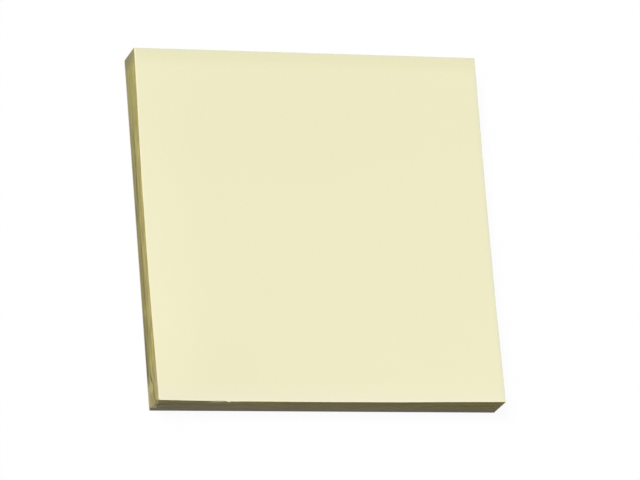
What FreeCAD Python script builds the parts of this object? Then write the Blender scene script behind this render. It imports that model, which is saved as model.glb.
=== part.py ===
"""A square pad of sticky notes lying on its backing sheet.

The pad is a stack of thin paper notes. Each note carries a coat of weak adhesive on its
underside, in a band along one edge, and the lowest note sticks to a stiffer backing sheet.
Lengths are in millimetres. +Z is up, +Y points to the glued edge and the origin is at the
centre of the underside of the backing sheet.

The adhesive coats make the pad thicker along the glued edge. The stack comes down from there to
the height of the bare paper. At the free edge the notes curl, so that both free corners rise, and
the right edge stands up a little all along. The cut sides lean: the top note lies further left
and away than the lowest one.
"""

import FreeCAD
import Part

import math
import os

# The notes and the sheet that they are stuck to.
NOTE_SIDE = 76.2
NOTE_COUNT = 80
PAPER_THICKNESS = 0.0835
BACKING_THICKNESS = 0.2

# The coat of adhesive on each note, as thick as it is at the glued edge.
ADHESIVE_THICKNESS = 0.0135
# The stack comes down from its glued height to the bare paper's over this length.
DESCENT_LENGTH = 31.0

# How far the top note's two free corners rise by curling, and how far back the curl reaches.
CORNER_CURL = 1.0
CURL_REACH = 26.0
# How far the top note's right edge rises between the glued part and the curl.
RIGHT_RISE = 0.4
# The power of the rise from the middle to each side: the larger, the closer to the edge it bends.
LEFT_BEND = 2.7
RIGHT_BEND = 1.2

# How far the top of the stack lies from its bottom, seen from above: to the left and away.
LEAN_LEFT = 0.28
LEAN_AWAY = 0.19

# The cut edges: where two notes meet, their seam lies a little inside the pad's outline.
SEAM_DEPTH = 0.04
# The notes cling together in clumps. The seam between two clumps is an open groove.
CLUMP_NOTES = 11
GROOVE_DEPTH = 0.22
# The adhesive holds the seams of the glued edge this much closer than the free ones.
GLUED_EDGE_SHARE = 0.3

# Points through which the curved edges and the top surface pass, along each side of a note.
STATIONS = 11

GOLDEN_RATIO = (1 + math.sqrt(5)) / 2
SIDES = ("near", "right", "far", "left")


def ease(share):
    """Goes from 0 to 1 with level ends, as its argument goes from 0 to 1."""
    held = min(1.0, max(0.0, share))
    return held * held * (3 - 2 * held)


def stack_height(x, y):
    """Height of the whole stack of notes above the backing sheet, at a place on the pad."""
    half = NOTE_SIDE / 2
    from_glued_edge = half - y
    from_free_edge = half + y
    glued = ease(1 - from_glued_edge / DESCENT_LENGTH)
    curled = ease(1 - from_free_edge / CURL_REACH)
    if x < 0:
        rise = CORNER_CURL * curled
        bend = LEFT_BEND
    else:
        rise = RIGHT_RISE * (1 - glued) + (CORNER_CURL - RIGHT_RISE) * curled
        bend = RIGHT_BEND
    flat = NOTE_COUNT * (PAPER_THICKNESS + ADHESIVE_THICKNESS * glued)
    return flat + rise * (abs(x) / half) ** bend


def height_at(level, x, y):
    """Height of the seam above that many notes, measured from the underside of the pad."""
    return BACKING_THICKNESS + stack_height(x, y) * level / NOTE_COUNT


def seam_inset(level, side):
    """How far inside the outline a seam lies. The stack's lowest and highest edges lie on it."""
    if level in (0, NOTE_COUNT):
        return 0.0
    spread = (level * GOLDEN_RATIO + SIDES.index(side) / len(SIDES)) % 1
    inset = SEAM_DEPTH * spread
    if level % CLUMP_NOTES == 0:
        inset += GROOVE_DEPTH
    return inset * GLUED_EDGE_SHARE if side == "far" else inset


def lean_at(level):
    """Where the middle of a seam lies in plan. Half way up the stack it is at the origin."""
    share = level / NOTE_COUNT - 0.5
    return -LEAN_LEFT * share, LEAN_AWAY * share


def seam_corners(level):
    """The four corners of a seam's outline in plan, from near left, going round by the right."""
    half = NOTE_SIDE / 2
    x, y = lean_at(level)
    near, right, far, left = (half - seam_inset(level, side) for side in SIDES)
    return [(x - left, y - near), (x + right, y - near), (x + right, y + far), (x - left, y + far)]


def between(start, end):
    """Evenly spaced values from start to end, one for each station."""
    return [start + (end - start) * i / (STATIONS - 1) for i in range(STATIONS)]


def seam_edge(level, start, end):
    """One side of a seam, from corner to corner, following the curve of the stack."""
    plan = zip(between(start[0], end[0]), between(start[1], end[1]))
    points = [FreeCAD.Vector(x, y, height_at(level, x, y)) for x, y in plan]
    if level == 0:
        return Part.makeLine(points[0], points[-1])
    curve = Part.BSplineCurve()
    curve.interpolate(points)
    return curve.toShape()


def seam_edges(level):
    """The four sides of a seam, in the order of SIDES."""
    corners = seam_corners(level)
    return [seam_edge(level, corners[i], corners[(i + 1) % 4]) for i in range(4)]


def top_face():
    """The writing surface of the top note."""
    near_left, _, far_right, _ = seam_corners(NOTE_COUNT)
    columns = between(near_left[0], far_right[0])
    rows = between(near_left[1], far_right[1])
    grid = [[FreeCAD.Vector(x, y, height_at(NOTE_COUNT, x, y)) for y in rows] for x in columns]
    surface = Part.BSplineSurface()
    surface.interpolate(grid)
    return surface.toShape()


def side_of(edge):
    """Which side of the pad an edge of the top face runs along."""
    middle = edge.CenterOfMass
    if abs(middle.y) > abs(middle.x):
        return "far" if middle.y > 0 else "near"
    return "right" if middle.x > 0 else "left"


def note_stack():
    """All the notes as one solid. Each note's cut edge is its own strip of the side walls."""
    top = top_face()
    rims = {side_of(edge): edge for edge in top.Edges}
    levels = [seam_edges(level) for level in range(NOTE_COUNT)]
    levels.append([rims[side] for side in SIDES])
    strips = [
        Part.makeRuledSurface(below, above)
        for lower, upper in zip(levels, levels[1:])
        for below, above in zip(lower, upper)
    ]
    underside = Part.Face(Part.Wire(levels[0]))
    shell = Part.makeShell([underside, *strips, top])
    shell.sewShape()
    solid = Part.Solid(shell)
    if solid.Volume < 0:
        solid.reverse()
    return solid


def backing_sheet():
    """The flat sheet under the lowest note."""
    x, y = lean_at(0)
    corner = FreeCAD.Vector(x - NOTE_SIDE / 2, y - NOTE_SIDE / 2, 0)
    return Part.makeBox(NOTE_SIDE, NOTE_SIDE, BACKING_THICKNESS, corner)


def main():
    os.makedirs("parts", exist_ok=True)
    nodes = {"note_stack": note_stack(), "backing_sheet": backing_sheet()}
    for name, shape in nodes.items():
        shape.exportStep(f"parts/{name}.step")
        print(name, "valid", shape.isValid(), "volume", round(shape.Volume, 1))


main()
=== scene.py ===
"""The looks of a square pad of pale yellow sticky notes on its backing sheet.

Every note is a leaf of its own here. Lengths are in metres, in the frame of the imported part:
+Z is up, +Y points to the glued edge and the origin is at the centre of the pad's underside.
A level counts the leaves below a place, from 0 at the backing sheet to NOTE_COUNT at the top.
"""

import math

import bpy
import numpy as np
from mathutils import Matrix, Vector


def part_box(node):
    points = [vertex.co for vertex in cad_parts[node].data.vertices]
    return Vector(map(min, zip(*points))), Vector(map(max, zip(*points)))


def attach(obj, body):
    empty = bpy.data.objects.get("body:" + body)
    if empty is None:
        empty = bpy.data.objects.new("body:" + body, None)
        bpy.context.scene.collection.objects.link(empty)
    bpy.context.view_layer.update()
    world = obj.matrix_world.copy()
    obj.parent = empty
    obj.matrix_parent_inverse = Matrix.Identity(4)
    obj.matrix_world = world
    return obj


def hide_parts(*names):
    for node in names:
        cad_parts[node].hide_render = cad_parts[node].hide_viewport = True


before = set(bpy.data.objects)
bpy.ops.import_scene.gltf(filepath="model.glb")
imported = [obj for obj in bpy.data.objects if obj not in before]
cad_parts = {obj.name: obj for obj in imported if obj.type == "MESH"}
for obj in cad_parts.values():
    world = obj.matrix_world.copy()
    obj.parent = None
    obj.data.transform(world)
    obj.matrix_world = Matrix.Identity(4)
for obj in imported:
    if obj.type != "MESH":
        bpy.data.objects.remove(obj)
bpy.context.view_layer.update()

MM = 0.001
stack_low, stack_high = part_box("note_stack")

# The pad's sizes, as the part has them.
LEAN_LEFT = 0.28 * MM
LEAN_AWAY = 0.19 * MM
HALF_SIDE = stack_high.x - LEAN_LEFT / 2
NOTE_COUNT = 80
PAPER = 0.0835 * MM
ADHESIVE = 0.0135 * MM
DESCENT_LENGTH = 31.0 * MM
CORNER_CURL = 1.0 * MM
CURL_REACH = 26.0 * MM
RIGHT_RISE = 0.4 * MM
LEFT_BEND = 2.7
RIGHT_BEND = 1.2
CLUMP_NOTES = 11

# The pad's sides, by number.
NEAR, RIGHT, FAR, LEFT = range(4)

# How the curl opens the stack: the least and most that it gives to the seam under a leaf inside a
# clump, and to the seam between two clumps.
GAP_IN_CLUMP = (0.2, 1.0)
GAP_BETWEEN_CLUMPS = (5.0, 12.0)

# How the leaves' cut edges stand in from the pad's outline.
LEAF_SCATTER = 0.006 * MM
WAVE_DEPTH = 0.009 * MM
WAVE_ROUGHNESS = 0.15
CLUMP_STEP = 0.03 * MM
GROOVE_DEPTH = 0.12 * MM
GROOVE_ROUGHNESS = 0.1
GLUED_EDGE_SHARE = 0.35

# The mesh points next to a corner, where a leaf's outline needs more of them.
CORNER_STATIONS = np.array([0.0, 0.4, 0.8, 1.2, 1.7, 2.3, 3.4, 5.0]) * MM

# The worn corner, near left: how far it is gone along the near edge and along the left one.
WEAR_ACROSS = 0.75 * MM
WEAR_ALONG = 5.0 * MM
# The part of the pad's height under the wear, and the part where the wear has come to an end.
WEAR_FROM = 0.16
WEAR_TO = 0.88
# It comes in over this part of the height, and leaves that differ by this much.
WEAR_RISE = 0.06
WEAR_SCATTER = (0.88, 1.12)
# Every leaf is worn by this share, and the worn outline bulges by this power.
LEAST_WEAR = 0.06
WEAR_BULGE = 1.3
# A share so small that it counts as none, but can still be divided by.
TINY = 1e-6

# What a leaf's upper face adds to its level, and the angle from which the mesh has a sharp edge.
LEVEL_OF_FACE = 0.9
SHARP_ANGLE = math.radians(40)

rng = np.random.default_rng(20)


def ease(share):
    """Goes from 0 to 1 with level ends, as its argument goes from 0 to 1."""
    held = np.clip(share, 0.0, 1.0)
    return held * held * (3 - 2 * held)


def glued(y):
    """1 at the glued edge, coming down to 0 where the stack has the height of the bare paper."""
    from_glued_edge = HALF_SIDE - y
    return ease(1 - from_glued_edge / DESCENT_LENGTH)


def curl(x, y):
    """How far the top leaf rises above the flat stack by curling."""
    from_free_edge = HALF_SIDE + y
    curled = ease(1 - from_free_edge / CURL_REACH)
    left = CORNER_CURL * curled
    right = RIGHT_RISE * (1 - glued(y)) + (CORNER_CURL - RIGHT_RISE) * curled
    towards_side = np.abs(x) / HALF_SIDE
    return np.where(x < 0, left * towards_side ** LEFT_BEND, right * towards_side ** RIGHT_BEND)


def gap_shares():
    """Share of the curl that lies below each leaf. Most of it opens at the clumps' seams."""
    gaps = rng.uniform(*GAP_IN_CLUMP, NOTE_COUNT)
    for seam in range(CLUMP_NOTES, NOTE_COUNT, CLUMP_NOTES):
        gaps[seam] = rng.uniform(*GAP_BETWEEN_CLUMPS)
    gaps[0] = 0.0
    below = np.cumsum(gaps)
    return below / below[-1]


GAP_SHARES = gap_shares()


def leaf_heights(leaf, x, y):
    """Heights of a leaf's underside and of its upper face."""
    pitch = PAPER + ADHESIVE * glued(y)
    low = stack_low.z + leaf * pitch + curl(x, y) * GAP_SHARES[leaf]
    return low, low + pitch


def wave(count, roughness, knots=7):
    """A smooth random line between -1 and 1 with that many values."""
    values = rng.uniform(-1.0, 1.0, knots)
    places = np.linspace(0.0, knots - 1.0, count)
    first = np.clip(places.astype(int), 0, knots - 2)
    blend = ease(places - first)
    line = values[first] * (1 - blend) + values[first + 1] * blend
    return np.clip(line + roughness * rng.uniform(-1.0, 1.0, count), -1.0, 1.0)


def stations(middle):
    """Places across the pad from 0 to 1, closer together near both ends."""
    near_end = CORNER_STATIONS / (2 * HALF_SIDE)
    inner = np.linspace(near_end[-1], 1 - near_end[-1], middle + 2)[1:-1]
    return np.concatenate([near_end, inner, (1 - near_end)[::-1]])


def worn_corner(x, y, across, along):
    """Takes the near left corner off a leaf's plan, in a line that bulges a little."""
    in_x = 1 - (x - x.min()) / across
    in_y = 1 - (y - y.min()) / along
    inside = (in_x > 0) & (in_y > 0)
    in_x = np.clip(in_x, TINY, 1.0)
    in_y = np.clip(in_y, TINY, 1.0)
    scale = np.maximum(in_x, in_y) / (in_x ** WEAR_BULGE + in_y ** WEAR_BULGE) ** (1 / WEAR_BULGE)
    x = np.where(inside, x.min() + across * (1 - in_x * scale), x)
    y = np.where(inside, y.min() + along * (1 - in_y * scale), y)
    return x, y


def wear_at(leaf):
    """Share of the full wear on a leaf's corner: most a little above the base, then less and less."""
    height = leaf / NOTE_COUNT
    rise = ease((height - WEAR_FROM) / WEAR_RISE)
    fall = max(0.0, (WEAR_TO - height) / (WEAR_TO - WEAR_FROM))
    return LEAST_WEAR + rise * fall * rng.uniform(*WEAR_SCATTER)


CLUMP_OFFSETS = rng.uniform(0.0, 1.0, (4, NOTE_COUNT // CLUMP_NOTES + 1))


def side_insets(leaf, side, count):
    """How far a leaf's edge stands in along one side."""
    clump = leaf // CLUMP_NOTES
    inset = LEAF_SCATTER * rng.uniform(0.0, 1.0)
    inset = inset + WAVE_DEPTH * (0.5 + 0.5 * wave(count, WAVE_ROUGHNESS))
    inset = inset + CLUMP_STEP * CLUMP_OFFSETS[side, clump]
    if leaf % CLUMP_NOTES == 0 and leaf > 0:
        inset = inset + GROOVE_DEPTH * (0.5 + 0.5 * wave(count, GROOVE_ROUGHNESS))
    if side == FAR:
        inset = inset * GLUED_EDGE_SHARE
    return inset


def lean_at(leaf):
    """How far the leaf lies from the middle of the stack in plan, as the pad leans."""
    share = (leaf + 0.5) / NOTE_COUNT - 0.5
    return -LEAN_LEFT * share, LEAN_AWAY * share


def between_sides(lean, first_inset, second_inset, share):
    """A place on a leaning leaf, at that share of the way from one side to the opposite one."""
    return lean - HALF_SIDE + first_inset + share * (2 * HALF_SIDE - first_inset - second_inset)


def leaf_plan(leaf, across, along):
    """Plan of a leaf: x and y over a grid of stations, worn and cut as that leaf is."""
    u, v = np.meshgrid(across, along, indexing="ij")
    near = side_insets(leaf, NEAR, len(across))[:, None]
    right = side_insets(leaf, RIGHT, len(along))[None, :]
    far = side_insets(leaf, FAR, len(across))[:, None]
    left = side_insets(leaf, LEFT, len(along))[None, :]
    lean_x, lean_y = lean_at(leaf)
    x = between_sides(lean_x, left, right, u)
    y = between_sides(lean_y, near, far, v)
    wear = wear_at(leaf)
    return worn_corner(x, y, WEAR_ACROSS * wear, WEAR_ALONG * wear)


def grid_faces(columns, rows, start, upward):
    """Four-sided faces over a grid of points."""
    i, j = np.meshgrid(np.arange(columns - 1), np.arange(rows - 1), indexing="ij")
    a = start + (i * rows + j).ravel()
    corners = [a, a + rows, a + rows + 1, a + 1]
    if not upward:
        corners.reverse()
    return np.stack(corners, axis=1)


def rim(columns, rows):
    """The grid's outer points, in order, going round from the near left corner by the right."""
    near = [i * rows for i in range(columns)]
    right = [(columns - 1) * rows + j for j in range(1, rows)]
    far = [i * rows + rows - 1 for i in range(columns - 2, -1, -1)]
    left = [j for j in range(rows - 2, 0, -1)]
    return np.array(near + right + far + left)


def slab(x, y, low, high):
    """Points, flat faces and edge faces of one leaf from its plan and its two heights."""
    columns, rows = x.shape
    count = columns * rows
    points = np.concatenate([np.stack([x, y, z], axis=-1).reshape(-1, 3) for z in (low, high)])
    under = grid_faces(columns, rows, 0, False)
    over = grid_faces(columns, rows, count, True)
    ring = rim(columns, rows)
    following = np.roll(ring, -1)
    edge = np.stack([ring, following, following + count, ring + count], axis=1)
    return points, np.concatenate([under, over]), edge


def leaf_mesh(name, slabs, levels, materials):
    """One object made of leaves. Its faces take the first material, its cut edges the second."""
    points, faces, marks, level_of = [], [], [], []
    start = 0
    for (leaf_points, flat, edge), level in zip(slabs, levels):
        points.append(leaf_points)
        faces.append(np.concatenate([flat, edge]) + start)
        marks.append(np.repeat([0, 1], [len(flat), len(edge)]))
        half = len(leaf_points) // 2
        level_of.append(np.repeat([level, level + LEVEL_OF_FACE], [half, half]))
        start += len(leaf_points)
    points = np.concatenate(points)
    faces = np.concatenate(faces)
    marks = np.concatenate(marks)
    mesh = bpy.data.meshes.new(name)
    mesh.from_pydata(points.tolist(), [], faces.tolist())
    for material in materials:
        mesh.materials.append(material)
    mesh.polygons.foreach_set("material_index", marks.astype(np.int32))
    mesh.polygons.foreach_set("use_smooth", marks == 0)
    attribute = mesh.attributes.new("leaf_level", "FLOAT", "POINT")
    attribute.data.foreach_set("value", np.concatenate(level_of).astype(np.float32))
    mesh.set_sharp_from_angle(angle=SHARP_ANGLE)
    mesh.update()
    return placed(name, mesh)


def placed(name, data):
    """A new object with that data, in the scene."""
    thing = bpy.data.objects.new(name, data)
    bpy.context.scene.collection.objects.link(thing)
    return thing


class Nodes:
    """Short calls for building one node material."""

    def __init__(self, name):
        self.material = bpy.data.materials.new(name)
        self.material.use_nodes = True
        self.tree = self.material.node_tree
        self.shader = self.tree.nodes["Principled BSDF"]

    def add(self, kind, **settings):
        """A new node with those settings."""
        node = self.tree.nodes.new(kind)
        for key, value in settings.items():
            setattr(node, key, value)
        return node

    def link(self, out, into):
        """Links a node's output to a socket."""
        self.tree.links.new(out, into)

    def fill(self, socket, value):
        """Sets a socket to a plain value or links another node's output to it."""
        if isinstance(value, bpy.types.NodeSocket):
            self.link(value, socket)
        else:
            socket.default_value = value

    def math(self, operation, first, second=0.0):
        """One sum, product or other operation on two values."""
        node = self.add("ShaderNodeMath", operation=operation)
        self.fill(node.inputs[0], first)
        self.fill(node.inputs[1], second)
        return node.outputs[0]

    def chained(self, operation, values):
        """The operation on the first two values, then on its result and the third, and so on."""
        result = values[0]
        for value in values[1:]:
            result = self.math(operation, result, value)
        return result

    def times(self, *values):
        """All the values multiplied."""
        return self.chained("MULTIPLY", values)

    def total(self, *values):
        """All the values added."""
        return self.chained("ADD", values)

    def largest(self, *values):
        """The largest of the values."""
        return self.chained("MAXIMUM", values)

    def less(self, first, second):
        """The first value less the second."""
        return self.math("SUBTRACT", first, second)

    def place(self):
        """The place on the pad, in metres."""
        return self.add("ShaderNodeTexCoord").outputs["Object"]

    def parts(self, vector):
        """A place's x, y and z."""
        node = self.add("ShaderNodeSeparateXYZ")
        self.link(vector, node.inputs[0])
        return node.outputs

    def joined(self, x, y, z):
        """A vector made of three values."""
        node = self.add("ShaderNodeCombineXYZ")
        for socket, value in zip(node.inputs, (x, y, z)):
            self.fill(socket, value)
        return node.outputs[0]

    def scaled(self, vector, factors):
        """A vector with each part multiplied by its own factor."""
        node = self.add("ShaderNodeVectorMath", operation="MULTIPLY")
        self.link(vector, node.inputs[0])
        node.inputs[1].default_value = factors
        return node.outputs[0]

    def noise(self, vector, scale, detail=3.0, roughness=0.5):
        """Noise from 0 to 1, mostly near 0.5. The scale counts its grains in each unit of length."""
        node = self.add("ShaderNodeTexNoise")
        self.link(vector, node.inputs["Vector"])
        node.inputs["Scale"].default_value = scale
        node.inputs["Detail"].default_value = detail
        node.inputs["Roughness"].default_value = roughness
        return node.outputs["Fac"]

    def spread(self, value, reach, onto, smooth=False):
        """Lays a value's reach onto another one. Beyond the reach the result stays at its end."""
        node = self.add("ShaderNodeMapRange")
        node.interpolation_type = "SMOOTHSTEP" if smooth else "LINEAR"
        self.fill(node.inputs["Value"], value)
        node.inputs["From Min"].default_value, node.inputs["From Max"].default_value = reach
        node.inputs["To Min"].default_value, node.inputs["To Max"].default_value = onto
        return node.outputs["Result"]

    def fade(self, value, whole, gone, peak=1.0):
        """The peak as far as the value at which it is whole, and 0 from the one at which it is gone."""
        return self.spread(value, (whole, gone), (peak, 0.0), True)

    def rise(self, value, start, whole, peak=1.0):
        """0 as far as the value at which it starts, and the peak from the one at which it is whole."""
        return self.spread(value, (start, whole), (0.0, peak), True)

    def around(self, value, middle, whole, gone, peak=1.0):
        """The peak where the value is near a middle: whole up to that far off, and gone from there."""
        away = self.math("ABSOLUTE", self.less(value, middle))
        return self.fade(away, whole, gone, peak)

    def mixed(self, factor, first, second):
        """A colour between two colours."""
        node = self.add("ShaderNodeMix", data_type="RGBA")
        # This node has its two colours in sockets 6 and 7, and the mixed one in output 2.
        self.fill(node.inputs[0], factor)
        self.fill(node.inputs[6], first)
        self.fill(node.inputs[7], second)
        return node.outputs[2]

    def shaded(self, colour, amount):
        """A colour made lighter or darker by a factor near 1."""
        node = self.add("ShaderNodeVectorMath", operation="SCALE")
        self.link(colour, node.inputs[0])
        self.fill(node.inputs["Scale"], amount)
        return node.outputs[0]

    def bump(self, height, distance):
        """Fine relief on the surface: heights from 0 to 1, with that distance between them."""
        node = self.add("ShaderNodeBump")
        self.link(height, node.inputs["Height"])
        node.inputs["Distance"].default_value = distance
        node.inputs["Strength"].default_value = 1.0
        self.link(node.outputs[0], self.shader.inputs["Normal"])


def rgba(red, green, blue):
    """A colour for a socket, from its linear red, green and blue."""
    return (red, green, blue, 1.0)


# The notes' paper: its faces, then the places where they are paler or duller, and where shade and
# highlights are painted on them.
FACE = rgba(0.870, 0.833, 0.531)
FACE_CLOUDED = rgba(0.854, 0.818, 0.531)
FACE_BY_LEFT = rgba(0.905, 0.864, 0.568)
FACE_BY_NEAR = rgba(0.884, 0.842, 0.602)
# The next two are painted shade: towards the far edge, and in a thin line along the far and right
# edges.
FACE_FAR_SHADE = rgba(0.815, 0.786, 0.485)
FACE_RIM_SHADE = rgba(0.797, 0.790, 0.540)
# The next two are painted highlights in a hairline along the left and near edges.
FACE_HIGHLIGHT_LEFT = rgba(0.985, 0.905, 0.575)
FACE_HIGHLIGHT_NEAR = rgba(0.930, 0.885, 0.635)

# The notes' cut edges: dark and light streaks, greenish or reddish, then other places on them.
EDGE_DARK = (rgba(0.425, 0.395, 0.135), rgba(0.475, 0.395, 0.140))
EDGE_LIGHT = (rgba(0.73, 0.665, 0.235), rgba(0.79, 0.665, 0.245))
EDGE_GREY = rgba(0.645, 0.58, 0.39)
EDGE_FADED = rgba(0.575, 0.585, 0.360)
EDGE_BENT = rgba(0.93, 0.86, 0.45)
EDGE_FAR_END = rgba(0.60, 0.55, 0.36)

# The backing sheet.
BACKING_DARK = rgba(0.50, 0.47, 0.34)
BACKING_LIGHT = rgba(0.56, 0.53, 0.39)

# How fine each noise is, in grains per metre.
FACE_CLOUD_SCALE = 55.0
FACE_TOOTH_SCALE = 2600.0
FACE_FIBRE_SCALE = 5200.0
HAIRLINE_SCALE = 420.0
SOIL_SCALE = 70.0
SMUDGE_SCALE = 420.0
FUZZ_SCALE = 9000.0
BACKING_CLOUD_SCALE = 70.0
BACKING_FIBRE_SCALE = 4200.0

# The values between which a noise mostly stays, and a closer pair that brings out its patches.
NOISE_REACH = (0.3, 0.7)
NOISE_PATCHES = (0.35, 0.65)

# The cut edges are free as far as the first distance from the near edge, and the adhesive holds
# them together from the second one.
FREE_TO_GLUED = (53.1 * MM, 62.1 * MM)
# The wear's colours set in between these two levels.
WEAR_SETS_IN = (11.0, 13.0)

# How deep each relief is.
FACE_RELIEF = 0.006 * MM
EDGE_RELIEF = 0.02 * MM
BACKING_RELIEF = 0.004 * MM


def note_face():
    """The upper face of the top note: pale yellow uncoated paper, with painted shade and a painted
    highlight by its edges.
    """
    n = Nodes("note_face")
    place = n.place()
    x, y, _ = n.parts(place)
    cloud = n.noise(place, FACE_CLOUD_SCALE, detail=2.0)
    tooth = n.noise(place, FACE_TOOTH_SCALE, detail=4.0, roughness=0.65)
    along_y = n.scaled(place, (1.0, 0.28, 1.0))
    fibres = n.noise(along_y, FACE_FIBRE_SCALE, detail=2.0, roughness=0.6)
    colour = n.mixed(cloud, FACE, FACE_CLOUDED)
    # The paper is a little paler by its left and near edges, where it is handled.
    by_left = n.fade(x, whole=-HALF_SIDE, gone=16 * MM - HALF_SIDE)
    by_near = n.fade(y, whole=-HALF_SIDE, gone=6 * MM - HALF_SIDE, peak=0.6)
    less_far_off = n.spread(y, (-HALF_SIDE, HALF_SIDE), (0.9, 0.4))
    colour = n.mixed(n.times(by_left, less_far_off), colour, FACE_BY_LEFT)
    colour = n.mixed(by_near, colour, FACE_BY_NEAR)
    # Painted shade darkens it a little towards the far edge, and in a thin line along the far and right
    # edges.
    to_right = n.less(HALF_SIDE - LEAN_LEFT / 2, x)
    to_far = n.less(HALF_SIDE + LEAN_AWAY / 2, y)
    far_shade = n.fade(to_far, whole=0.6 * MM, gone=4.5 * MM, peak=0.85)
    colour = n.mixed(far_shade, colour, FACE_FAR_SHADE)
    to_rim = n.math("MINIMUM", to_right, to_far)
    rim_shade = n.fade(to_rim, whole=0.3 * MM, gone=1.05 * MM, peak=0.78)
    colour = n.mixed(rim_shade, colour, FACE_RIM_SHADE)
    # A painted highlight lies in a hairline along the left and near edges.
    out_left = n.less(-LEAN_LEFT / 2, x)
    out_near = n.less(LEAN_AWAY / 2, y)
    outwards = n.largest(out_left, out_near)
    hairline = n.rise(outwards, start=HALF_SIDE - 0.45 * MM, whole=HALF_SIDE - 0.25 * MM)
    patchy = n.spread(n.noise(place, HAIRLINE_SCALE, detail=2.0), NOISE_PATCHES, (0.45, 1.0))
    on_near = n.math("GREATER_THAN", out_near, out_left)
    highlight_colour = n.mixed(on_near, FACE_HIGHLIGHT_LEFT, FACE_HIGHLIGHT_NEAR)
    colour = n.mixed(n.times(hairline, patchy), colour, highlight_colour)
    grain = n.spread(tooth, NOISE_REACH, (0.988, 1.012))
    n.link(n.shaded(colour, grain), n.shader.inputs["Base Color"])
    n.link(n.spread(tooth, NOISE_REACH, (0.78, 0.92)), n.shader.inputs["Roughness"])
    n.shader.inputs["Specular IOR Level"].default_value = 0.25
    n.bump(n.total(n.times(tooth, 0.6), n.times(fibres, 0.4)), FACE_RELIEF)
    return n.material


class EdgeNodes(Nodes):
    """Node calls for the cut edges, with the places on the pad that their looks follow."""

    def __init__(self, name):
        super().__init__(name)
        self.spot = self.place()
        self.x, self.y, _ = self.parts(self.spot)
        self.from_near = self.total(self.y, HALF_SIDE)
        self.level = self.add("ShaderNodeAttribute", attribute_name="leaf_level").outputs["Fac"]
        self.worn = self.worn_part()
        self.on_left = self.left_side()
        self.on_others = self.less(1.0, self.on_left)
        # 1 as far as half a millimetre from the near edge, and 0 from one millimetre.
        self.beside_near = self.spread(self.from_near, (0.5 * MM, 1.0 * MM), (1.0, 0.0))

    def worn_part(self):
        """1 on the worn corner, near left, and 0 elsewhere."""
        leaned = self.times(self.level, LEAN_LEFT / NOTE_COUNT)
        from_left = self.total(self.x, leaned, HALF_SIDE - LEAN_LEFT / 2)
        # The most worn leaf can be gone a little further than WEAR_ACROSS, by chance.
        widest = WEAR_SCATTER[1] * WEAR_ACROSS
        worn_levels = (WEAR_FROM * NOTE_COUNT, WEAR_TO * NOTE_COUNT)
        past_wear = self.less(from_left, self.spread(self.level, worn_levels, (widest, 0.0)))
        inside = self.times(self.spread(past_wear, (-0.02 * MM, 0.06 * MM), (1.0, 0.0)),
                            self.spread(self.level, WEAR_SETS_IN, (0.0, 1.0)))
        return self.times(inside, self.fade(self.from_near, whole=2 * MM, gone=WEAR_ALONG))

    def left_side(self):
        """1 on the left side and the worn corner, and 0 on the three other sides."""
        beside_left = self.spread(self.x, (0.3 * MM - HALF_SIDE, 0.6 * MM - HALF_SIDE), (1.0, 0.0))
        leaned = self.times(self.level, LEAN_AWAY / NOTE_COUNT)
        from_far = self.less(self.total(leaned, HALF_SIDE - LEAN_AWAY / 2), self.y)
        clear_of_far = self.spread(from_far, (0.08 * MM, 0.15 * MM), (0.0, 1.0))
        return self.times(self.largest(beside_left, self.worn), clear_of_far)

    def streaks(self, along, per_leaf, detail):
        """Noise drawn out along the leaves: its grains per metre along them, and per leaf."""
        x = self.times(self.x, along)
        y = self.times(self.y, along)
        across = self.times(self.level, per_leaf)
        return self.noise(self.joined(x, y, across), 1.0, detail, roughness=0.62)


def edge_colour(n, streak, tinge):
    """The colour of the cut paper, before dirt and wear."""
    colour = n.mixed(streak, n.mixed(tinge, *EDGE_DARK), n.mixed(tinge, *EDGE_LIGHT))
    # The lowest notes are greyer: higher up towards the pad's left, but little on the left side.
    tilted = n.total(n.level, n.spread(n.x, (8 * MM, 34 * MM), (-6.0, 6.0)))
    grey_others = n.times(n.on_others, n.fade(tilted, whole=0.0, gone=50.0, peak=0.85))
    grey_left = n.times(n.on_left, n.fade(n.level, whole=0.0, gone=24.0, peak=0.30))
    # By the worn corner the higher notes of the left side are greyer, and those at its foot.
    handled = n.times(n.fade(n.from_near, whole=4 * MM, gone=10 * MM, peak=0.42),
                      n.rise(n.level, start=45.0, whole=65.0))
    rubbed = n.times(n.fade(n.from_near, whole=0.4 * MM, gone=2.6 * MM, peak=0.28),
                     n.fade(n.level, whole=45.0, gone=60.0))
    foot = n.times(n.fade(n.from_near, whole=0.5 * MM, gone=1.3 * MM, peak=0.6),
                   n.fade(n.level, whole=17.0, gone=28.0))
    by_corner = n.times(n.on_left, n.largest(handled, rubbed, foot))
    colour = n.mixed(n.largest(n.total(grey_others, grey_left), by_corner), colour, EDGE_GREY)
    # A little further along the left side the lower ones are faded and greenish.
    faded = n.times(n.on_left,
                    n.around(n.from_near, middle=4.3 * MM, whole=1.2 * MM, gone=3 * MM, peak=0.3),
                    n.fade(n.level, whole=22.0, gone=42.0))
    colour = n.mixed(faded, colour, EDGE_FADED)
    # By the tooth of the top note some notes under it are bent and show a little of their faces.
    by_tooth = n.times(n.around(n.x, middle=-25.3 * MM, whole=0.4 * MM, gone=2.4 * MM, peak=0.9),
                       n.rise(n.level, start=60.0, whole=74.0),
                       n.beside_near)
    return n.mixed(by_tooth, colour, EDGE_BENT)


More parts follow.
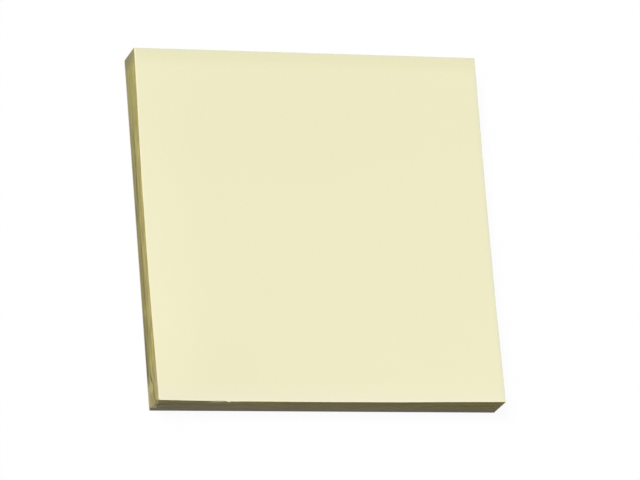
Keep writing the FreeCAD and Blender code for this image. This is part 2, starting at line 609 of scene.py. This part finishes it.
def soil_and_shade(n, streak, tinge):
    """Share of the light that dirt and painted shade take from the left side. Below 0 the paper is
    paler.
    """
    # The lower clumps are darker in patches, partly dirt and partly painted shade, up to a dark line of
    # dirt and painted shade at a seam between clumps, which follows the streaks.
    patchy = n.spread(n.noise(n.spot, SOIL_SCALE), (0.35, 0.6), (0.22, 0.36))
    low = n.times(n.fade(n.level, whole=29.0, gone=39.0), patchy)
    line_level = n.spread(streak, (0.0, 1.0), (31.0, 35.0))
    darkest = n.around(n.from_near, middle=50.6 * MM, whole=3 * MM, gone=5 * MM, peak=1.2)
    line_depth = n.largest(darkest, n.spread(tinge, (0.2, 0.8), (0.2, 1.0)))
    line = n.times(n.around(n.level, line_level, whole=1.5, gone=4.5, peak=0.3), line_depth)
    less_far = n.spread(n.from_near, FREE_TO_GLUED, (1.0, 0.35), True)
    less_near = n.spread(n.from_near, (3.5 * MM, 7 * MM), (0.1, 1.0), True)
    middle = n.times(less_far, less_near, n.total(low, line))
    # The lowest notes are dirtier again not far from the worn corner, with a ragged outline.
    ragged = n.spread(n.noise(n.spot, SMUDGE_SCALE), NOISE_PATCHES, (-1.0, 1.0))
    ragged_level = n.total(n.level, n.times(ragged, 4.0))
    ragged_along = n.total(n.from_near, n.times(ragged, 0.6 * MM))
    smudge = n.total(n.around(ragged_along, middle=9.9 * MM, whole=3.2 * MM, gone=5.4 * MM, peak=0.27),
                     n.around(n.from_near, middle=16 * MM, whole=2 * MM, gone=6 * MM, peak=0.08))
    base = n.times(smudge, n.fade(ragged_level, whole=6.0, gone=16.0))
    # So are they right at that corner, under the wear.
    under = n.times(n.fade(n.from_near, whole=0.2 * MM, gone=0.75 * MM, peak=0.36),
                    n.spread(n.level, WEAR_SETS_IN, (1.0, 0.0)))
    # Over the line the side is paler in two places and duller in one.
    uneven = n.total(n.around(n.from_near, middle=12 * MM, whole=2 * MM, gone=4 * MM, peak=-0.07),
                     n.around(n.from_near, middle=34 * MM, whole=3 * MM, gone=7 * MM, peak=-0.05),
                     n.around(n.from_near, middle=53 * MM, whole=2.5 * MM, gone=6 * MM, peak=0.07))
    above_line = n.rise(n.level, start=26.0, whole=36.0)
    return n.total(middle, base, under, n.times(above_line, uneven))


def crease_shading(n):
    """Share of the light that the painted shade of the creases by the worn corner takes. Below 0 it is
    a painted highlight, where ridges catch light.
    """
    # A crease of painted shade climbs across the leaves and then runs on to the corner.
    crease_level = n.spread(n.from_near, (4.3 * MM, 6.6 * MM), (45.0, 26.0))
    crease = n.times(n.around(n.level, crease_level, whole=2.0, gone=6.0),
                     n.spread(n.from_near, (2.4 * MM, 4.5 * MM), (0.48, 0.35)),
                     n.fade(n.from_near, whole=5.6 * MM, gone=7.4 * MM))
    # A faint one runs over it, among the higher leaves.
    upper_level = n.spread(n.from_near, (4.0 * MM, 7.8 * MM), (66.0, 54.0))
    upper = n.times(n.around(n.level, upper_level, whole=3.0, gone=8.0, peak=0.13),
                    n.around(n.from_near, middle=6.2 * MM, whole=1.4 * MM, gone=2.6 * MM))
    # Painted highlights of ridges lie under it, the second one low down and nearer the corner.
    ridge = n.times(n.around(n.level, n.less(crease_level, 11.5), whole=2.0, gone=6.0, peak=-0.19),
                    n.around(n.from_near, middle=5.1 * MM, whole=1.4 * MM, gone=2.3 * MM))
    foot = n.times(n.around(n.from_near, middle=2.6 * MM, whole=1.9 * MM, gone=2.6 * MM, peak=-0.10),
                   n.fade(n.level, whole=9.0, gone=15.0))
    # Between the second ridge and the crease's end a shallow hollow is painted in shade.
    hollow = n.times(n.around(n.from_near, middle=1.9 * MM, whole=0.8 * MM, gone=1.6 * MM, peak=0.14),
                     n.around(n.level, middle=29.0, whole=9.0, gone=14.0))
    return n.total(crease, upper, ridge, foot, hollow)


def note_edge():
    """The cut edges of the notes: deeper in colour than the faces, streaked, soiled and worn, with
    painted shade and painted highlights on the left side.
    """
    n = EdgeNodes("note_edge")
    # The streaks are strong on the left side where the notes are free, and faint elsewhere.
    free = n.spread(n.from_near, FREE_TO_GLUED, (1.0, 0.45), True)
    contrast = n.times(n.spread(n.on_left, (0.0, 1.0), (0.45, 1.0)), free)
    streak = n.spread(n.streaks(along=150.0, per_leaf=0.075, detail=3.0), NOISE_PATCHES, (-0.5, 0.5))
    streak = n.total(n.times(streak, contrast), 0.5)
    tinge = n.spread(n.streaks(along=120.0, per_leaf=0.07, detail=2.0), (0.38, 0.62), (0.0, 1.0))
    tinge = n.times(tinge, n.spread(n.from_near, (50.1 * MM, 62.1 * MM), (1.0, 0.25), True))
    thread = n.spread(n.streaks(along=160.0, per_leaf=1.9, detail=2.0), NOISE_REACH, (0.88, 1.12))
    colour = edge_colour(n, streak, tinge)
    # The left side's far end is a little darker and greyer.
    from_glued = n.less(2 * HALF_SIDE, n.from_near)
    far_end = n.times(n.on_left, n.fade(from_glued, whole=1.0 * MM, gone=4.0 * MM, peak=0.20))
    colour = n.mixed(n.times(far_end, 2.2), colour, EDGE_FAR_END)
    # The highest leaves of the left side are a little paler.
    paler = n.rise(n.level, start=66.0, whole=79.0, peak=-0.12)
    # What the left side takes from the light: dirt, painted shade, the painted shade and highlights of
    # its creases, and its paler highest leaves.
    taken_left = n.times(n.on_left, n.total(soil_and_shade(n, streak, tinge), crease_shading(n), paler))
    # So are those of the near side, towards the worn corner.
    rim_near = n.times(n.on_others, n.rise(n.level, start=62.0, whole=77.0, peak=-0.15),
                       n.fade(n.x, whole=14 * MM - HALF_SIDE, gone=26 * MM - HALF_SIDE),
                       n.beside_near)
    taken = n.total(taken_left, far_end, rim_near)
    # The worn corner is dark on the step where the lowest notes stand out, and at its near end, where
    # the darkness is painted shade.
    step = n.times(n.around(n.level, WEAR_FROM * NOTE_COUNT + 3.5, whole=1.5, gone=3.0),
                   n.spread(n.from_near, (0.4 * MM, 0.9 * MM), (0.16, 0.33)))
    end = n.fade(n.from_near, whole=0.15 * MM, gone=0.85 * MM, peak=0.35)
    stain_and_shade = n.times(n.worn, n.total(step, end, 0.07))
    tone = n.times(thread, n.less(1.0, taken), n.less(1.0, stain_and_shade))
    n.link(n.shaded(colour, tone), n.shader.inputs["Base Color"])
    fuzz = n.noise(n.spot, FUZZ_SCALE, roughness=0.6)
    n.link(n.spread(fuzz, NOISE_REACH, (0.82, 0.96)), n.shader.inputs["Roughness"])
    n.shader.inputs["Specular IOR Level"].default_value = 0.2
    n.bump(fuzz, EDGE_RELIEF)
    return n.material


def backing_paper():
    """The backing sheet: denser, smoother and greyer than the notes."""
    n = Nodes("backing_paper")
    place = n.place()
    cloud = n.noise(place, BACKING_CLOUD_SCALE)
    fibres = n.noise(n.scaled(place, (0.25, 1.0, 1.0)), BACKING_FIBRE_SCALE, roughness=0.6)
    colour = n.mixed(cloud, BACKING_DARK, BACKING_LIGHT)
    grain = n.spread(fibres, NOISE_REACH, (0.97, 1.03))
    n.link(n.shaded(colour, grain), n.shader.inputs["Base Color"])
    n.link(n.spread(cloud, NOISE_REACH, (0.42, 0.55)), n.shader.inputs["Roughness"])
    n.bump(fibres, BACKING_RELIEF)
    return n.material


def leaf_slab(leaf, across, along):
    """One leaf of the stack, ready for the mesh."""
    x, y = leaf_plan(leaf, across, along)
    return slab(x, y, *leaf_heights(leaf, x, y))


def build_notes(edge):
    """All the notes under the top one. What shows of them is cut and frayed paper."""
    places = stations(middle=7)
    slabs = [leaf_slab(leaf, places, places) for leaf in range(NOTE_COUNT - 1)]
    return leaf_mesh("notes", slabs, range(NOTE_COUNT - 1), [edge, edge])


# How far the top note's edges stand in, and how deep and rough their waves are. The glued edge,
# at the far side, has less of each.
TOP_INSET = 0.05 * MM
TOP_WAVE = 0.03 * MM
TOP_ROUGHNESS = 0.3
TOP_FAR_INSET = 0.03 * MM
TOP_FAR_WAVE = 0.02 * MM
TOP_FAR_ROUGHNESS = 0.2

# A tooth of paper that stands out of the top note's near edge, and the bent edge beside it.
TOOTH_AT = -22.9 * MM
TOOTH_WIDTH = 0.4 * MM
TOOTH_REACH = 0.22 * MM
TOOTH_DROP = 0.12 * MM
BENT_AT = -25.0 * MM
BENT_WIDTH = 1.0 * MM
BENT_REACH = 0.09 * MM
BENT_DROP = 0.25 * MM
# Right of the tooth the near edge stands out a little, less and less along it.
STEP_REACH = 0.07 * MM
STEP_FADE = 9.0 * MM
# More mesh points lie around both, as shares of the near edge, and in rows next to that edge.
FAULT_STATIONS = np.linspace(0.14, 0.24, 61)
FAULT_ROWS = np.array([0.05, 0.1, 0.15]) * MM


def hump(x, centre, width):
    """A smooth bump of height 1 around a place."""
    return np.exp(-(((x - centre) / width) ** 4))


def build_top_note(face, edge):
    """The top note, with a finer mesh and the small faults of its near edge."""
    leaf = NOTE_COUNT - 1
    across = np.unique(np.concatenate([stations(middle=60), FAULT_STATIONS]))
    fault_rows = FAULT_ROWS / (2 * HALF_SIDE)
    along = np.unique(np.concatenate([stations(middle=60), fault_rows]))
    u, v = np.meshgrid(across, along, indexing="ij")
    near = TOP_INSET + TOP_WAVE * wave(len(across), TOP_ROUGHNESS, knots=13)[:, None]
    right = TOP_INSET + TOP_WAVE * wave(len(along), TOP_ROUGHNESS, knots=11)[None, :]
    far = TOP_FAR_INSET + TOP_FAR_WAVE * wave(len(across), TOP_FAR_ROUGHNESS, knots=9)[:, None]
    left = TOP_INSET + TOP_WAVE * wave(len(along), TOP_ROUGHNESS, knots=11)[None, :]
    lean_x, lean_y = lean_at(leaf)
    x = between_sides(lean_x, left, right, u)
    tooth = hump(x, TOOTH_AT, TOOTH_WIDTH)
    bent = hump(x, BENT_AT, BENT_WIDTH)
    past_tooth = x - TOOTH_AT
    step = np.where(past_tooth > 0, STEP_REACH * np.exp(-np.abs(past_tooth) / STEP_FADE), 0.0)
    reach = np.maximum(TOOTH_REACH * tooth, BENT_REACH * bent)
    near = near - np.maximum(reach, step)
    y = between_sides(lean_y, near, far, v)
    low, high = leaf_heights(leaf, x, y)
    outmost = np.clip(1 - v / fault_rows[-1], 0.0, 1.0)
    drop = outmost * np.maximum(TOOTH_DROP * tooth, BENT_DROP * bent)
    return leaf_mesh("top_note", [slab(x, y, low - drop, high - drop)], [leaf], [face, edge])


WHITE = rgba(1.0, 1.0, 1.0)

# The floor as the camera sees it: mostly its own white, and the rest of it takes the shadow.
FLOOR_REACH = 6.0
FLOOR_GLOW_SHARE = 0.94
FLOOR_PALE = rgba(0.98, 0.98, 0.98)
# The floor as the pad sees it, so that it throws little light up at the cut edges.
FLOOR_DULL = rgba(0.235, 0.230, 0.305)

# The light as shares of a plain level: what the sky and the lamp each give to a level surface.
SKY_LEVEL = 0.244
KEY_LEVEL = 0.80
SKY_COLOUR = rgba(0.795, 0.803, 1.0)
# The way from the pad to the lamp, and how wide the lamp looks: the wider, the softer the shadow.
KEY_TOWARDS = Vector((-0.46, 0.2, 1.0))
KEY_DISTANCE = 1.5
KEY_WIDTH = math.radians(22)

# The photograph's camera: where it stands, the way it looks and the way its picture's right lies.
CAMERA_AT = Vector((-0.34001, -0.29156, 0.95130))
CAMERA_LOOK = Vector((0.32548, 0.27644, -0.90424))
CAMERA_RIGHT = Vector((0.94540, -0.07803, 0.31644))
SENSOR_WIDTH = 36.0
LENS = 280.45
# It shows nothing nearer than the first distance or further than the second.
CLIP_START = 0.05
CLIP_END = 20.0


def shader_node(tree, kind, colour):
    """A new shader of that kind and colour."""
    node = tree.nodes.new(kind)
    node.inputs["Color"].default_value = colour
    return node


def shader_mix(tree, share, first, second):
    """A mix of two shaders. The second one's share is a plain value or a node's output."""
    node = tree.nodes.new("ShaderNodeMixShader")
    if isinstance(share, bpy.types.NodeSocket):
        tree.links.new(share, node.inputs[0])
    else:
        node.inputs[0].default_value = share
    tree.links.new(first.outputs[0], node.inputs[1])
    tree.links.new(second.outputs[0], node.inputs[2])
    return node


def seen_directly(tree):
    """1 for a ray that shows the ground to the camera, straight or in a reflection."""
    path = tree.nodes.new("ShaderNodeLightPath")
    seen = path.outputs["Is Camera Ray"]
    for ray in ("Is Glossy Ray", "Is Transmission Ray"):
        either = tree.nodes.new("ShaderNodeMath")
        either.operation = "MAXIMUM"
        tree.links.new(seen, either.inputs[0])
        tree.links.new(path.outputs[ray], either.inputs[1])
        seen = either.outputs[0]
    return seen


def build_floor():
    """A plain white floor that keeps the pad's soft shadow."""
    mesh = bpy.data.meshes.new("floor")
    outline = [(-1, -1), (1, -1), (1, 1), (-1, 1)]
    corners = [(FLOOR_REACH * x, FLOOR_REACH * y, 0.0) for x, y in outline]
    mesh.from_pydata(corners, [], [(0, 1, 2, 3)])
    material = bpy.data.materials.new("floor")
    material.use_nodes = True
    tree = material.node_tree
    tree.nodes.clear()
    out = tree.nodes.new("ShaderNodeOutputMaterial")
    lit = shader_node(tree, "ShaderNodeBsdfDiffuse", FLOOR_PALE)
    glow = shader_node(tree, "ShaderNodeEmission", WHITE)
    glow.inputs["Strength"].default_value = 1.0
    white = shader_mix(tree, FLOOR_GLOW_SHARE, lit, glow)
    dull = shader_node(tree, "ShaderNodeBsdfDiffuse", FLOOR_DULL)
    both = shader_mix(tree, seen_directly(tree), dull, white)
    tree.links.new(both.outputs[0], out.inputs["Surface"])
    mesh.materials.append(material)
    return placed("floor", mesh)


def build_light():
    """A white ground, a dim even sky and one soft lamp from the far left."""
    world = bpy.data.worlds.new("studio")
    bpy.context.scene.world = world
    world.use_nodes = True
    tree = world.node_tree
    tree.nodes.clear()
    out = tree.nodes.new("ShaderNodeOutputWorld")
    sky = shader_node(tree, "ShaderNodeBackground", SKY_COLOUR)
    sky.inputs["Strength"].default_value = SKY_LEVEL
    white = shader_node(tree, "ShaderNodeBackground", WHITE)
    white.inputs["Strength"].default_value = 1.0
    both = shader_mix(tree, seen_directly(tree), sky, white)
    tree.links.new(both.outputs[0], out.inputs["Surface"])
    towards = KEY_TOWARDS.normalized()
    lamp = bpy.data.lights.new("key", "SUN")
    lamp.energy = math.pi * KEY_LEVEL / towards.z
    lamp.angle = KEY_WIDTH
    key = placed("key", lamp)
    key.rotation_euler = towards.to_track_quat("Z", "Y").to_euler()
    key.location = towards * KEY_DISTANCE


def build_camera():
    """The photograph's camera: far away, above and to the near left of the pad."""
    data = bpy.data.cameras.new("camera")
    data.sensor_width = SENSOR_WIDTH
    data.lens = LENS
    data.clip_start = CLIP_START
    data.clip_end = CLIP_END
    look = CAMERA_LOOK.normalized()
    right = (CAMERA_RIGHT - look * CAMERA_RIGHT.dot(look)).normalized()
    up = right.cross(look)
    turn = Matrix((right, up, -look)).transposed().to_4x4()
    camera = placed("camera", data)
    camera.matrix_world = Matrix.Translation(CAMERA_AT) @ turn
    bpy.context.scene.camera = camera


def main():
    """Builds the notes, dresses the backing sheet and sets the stage."""
    face = note_face()
    edge = note_edge()
    for piece in (build_notes(edge), build_top_note(face, edge)):
        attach(piece, "root")
        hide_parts("note_stack")
    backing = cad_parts["backing_sheet"]
    backing.data.materials.clear()
    backing.data.materials.append(backing_paper())
    build_floor()
    build_light()
    build_camera()
    bpy.context.scene.view_settings.view_transform = "Standard"


main()
